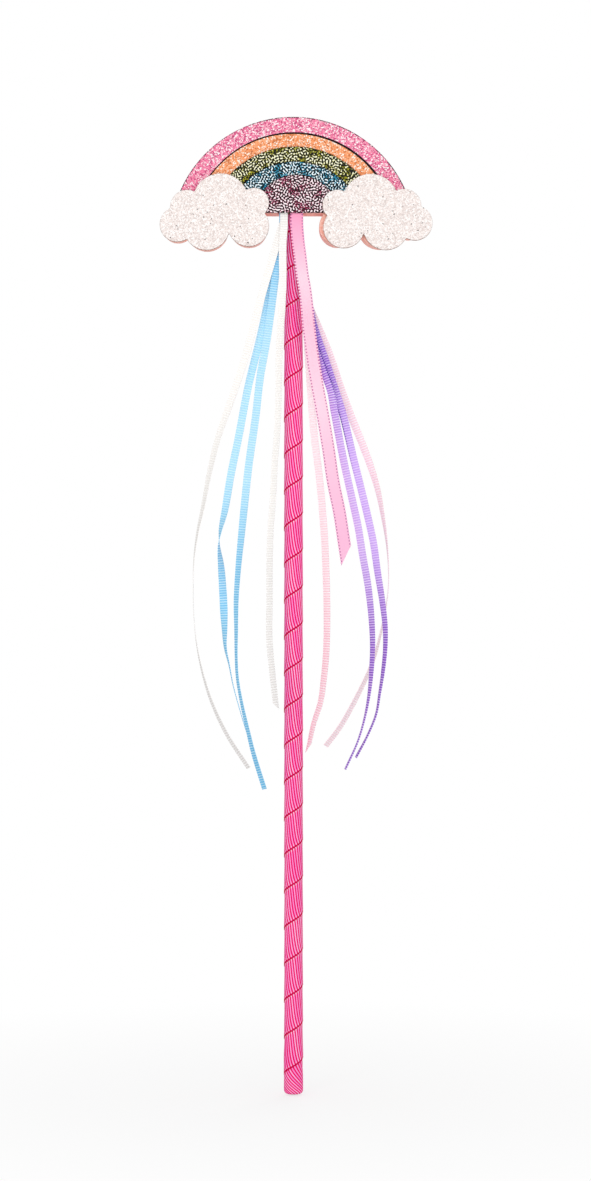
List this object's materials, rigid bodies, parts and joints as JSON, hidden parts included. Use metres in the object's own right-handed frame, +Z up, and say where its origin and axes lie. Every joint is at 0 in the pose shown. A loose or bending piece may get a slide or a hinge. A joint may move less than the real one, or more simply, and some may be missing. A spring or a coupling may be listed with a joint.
{
  "type": "toy magic wand",
  "caption": "Child's play wand: a padded glitter rainbow with two clouds on a ribbon-wound stick, with ribbon streamers that swing from under the rainbow.",
  "frame": {"origin": "centre of the flat lower end of the wound stick", "axes": "+Z up along the stick towards the head, +X to the right as the rainbow is seen, -Y out of the rainbow's glitter front"},
  "size_m": [0.1251, 0.0269, 0.4496],
  "materials": {
    "dowel": "sanded, unvarnished",
    "hot_pink_grosgrain": "ribbed, slight sheen",
    "salmon_foam": "matt, cut edge",
    "salmon_felt": "matt, fibrous",
    "pink_glitter": "fine glitter",
    "peach_glitter": "fine glitter",
    "gold_glitter": "coarse glitter",
    "blue_glitter": "coarse glitter",
    "plum_glitter": "coarse glitter",
    "white_glitter": "very fine glitter",
    "white_grosgrain": "ribbed",
    "blue_grosgrain": "ribbed",
    "lavender_grosgrain": "ribbed",
    "pale_pink_grosgrain": "ribbed",
    "pink_satin": "smooth satin with picot edges"
  },
  "bodies": {
    "wand": {"stick": "dowel", "wound_ribbon": "hot_pink_grosgrain", "tip_cap": "hot_pink_grosgrain", "foam_core": "salmon_foam", "back_panel": "salmon_felt", "pink_band": "pink_glitter", "peach_band": "peach_glitter", "gold_band": "gold_glitter", "blue_band": "blue_glitter", "plum_piece": "plum_glitter", "left_cloud": "white_glitter", "right_cloud": "white_glitter", "white_fold": "white_grosgrain", "blue_fold": "blue_grosgrain", "lavender_fold": "lavender_grosgrain", "pale_fold": "pale_pink_grosgrain", "satin_end": "pink_satin"},
    "white_inner_streamer": {"white_inner_streamer": "white_grosgrain"},
    "white_outer_streamer": {"white_outer_streamer": "white_grosgrain"},
    "blue_inner_streamer": {"blue_inner_streamer": "blue_grosgrain"},
    "blue_outer_streamer": {"blue_outer_streamer": "blue_grosgrain"},
    "satin_streamer": {"satin_streamer": "pink_satin"},
    "lavender_inner_streamer": {"lavender_inner_streamer": "lavender_grosgrain"},
    "lavender_outer_streamer": {"lavender_outer_streamer": "lavender_grosgrain"},
    "pale_inner_streamer": {"pale_inner_streamer": "pale_pink_grosgrain"},
    "pale_outer_streamer": {"pale_outer_streamer": "pale_pink_grosgrain"}
  },
  "joints": [
    {"name": "white_inner_swing", "type": "hinge", "parent": "wand", "child": "white_inner_streamer", "pos_m": [-0.0044, -0.0064, 0.40461], "axis": [0, 1, 0], "range_deg": [0, 15]},
    {"name": "white_outer_swing", "type": "hinge", "parent": "wand", "child": "white_outer_streamer", "pos_m": [-0.0044, -0.00595, 0.40461], "axis": [0, 1, 0], "range_deg": [0, 15]},
    {"name": "blue_inner_swing", "type": "hinge", "parent": "wand", "child": "blue_inner_streamer", "pos_m": [-0.0048, -0.0055, 0.40461], "axis": [0, 1, 0], "range_deg": [0, 15]},
    {"name": "blue_outer_swing", "type": "hinge", "parent": "wand", "child": "blue_outer_streamer", "pos_m": [-0.0048, -0.00505, 0.40461], "axis": [0, 1, 0], "range_deg": [0, 15]},
    {"name": "satin_swing", "type": "hinge", "parent": "wand", "child": "satin_streamer", "pos_m": [0.0015, -0.0064, 0.40461], "axis": [0, -1, 0], "range_deg": [0, 15]},
    {"name": "lavender_inner_swing", "type": "hinge", "parent": "wand", "child": "lavender_inner_streamer", "pos_m": [0.0026, -0.00595, 0.40461], "axis": [0, -1, 0], "range_deg": [0, 15]},
    {"name": "lavender_outer_swing", "type": "hinge", "parent": "wand", "child": "lavender_outer_streamer", "pos_m": [0.0026, -0.0055, 0.40461], "axis": [0, -1, 0], "range_deg": [0, 15]},
    {"name": "pale_inner_swing", "type": "hinge", "parent": "wand", "child": "pale_inner_streamer", "pos_m": [0.0024, -0.00505, 0.40461], "axis": [0, -1, 0], "range_deg": [0, 15]},
    {"name": "pale_outer_swing", "type": "hinge", "parent": "wand", "child": "pale_outer_streamer", "pos_m": [0.0024, -0.0046, 0.40461], "axis": [0, -1, 0], "range_deg": [0, 15]}
  ]
}
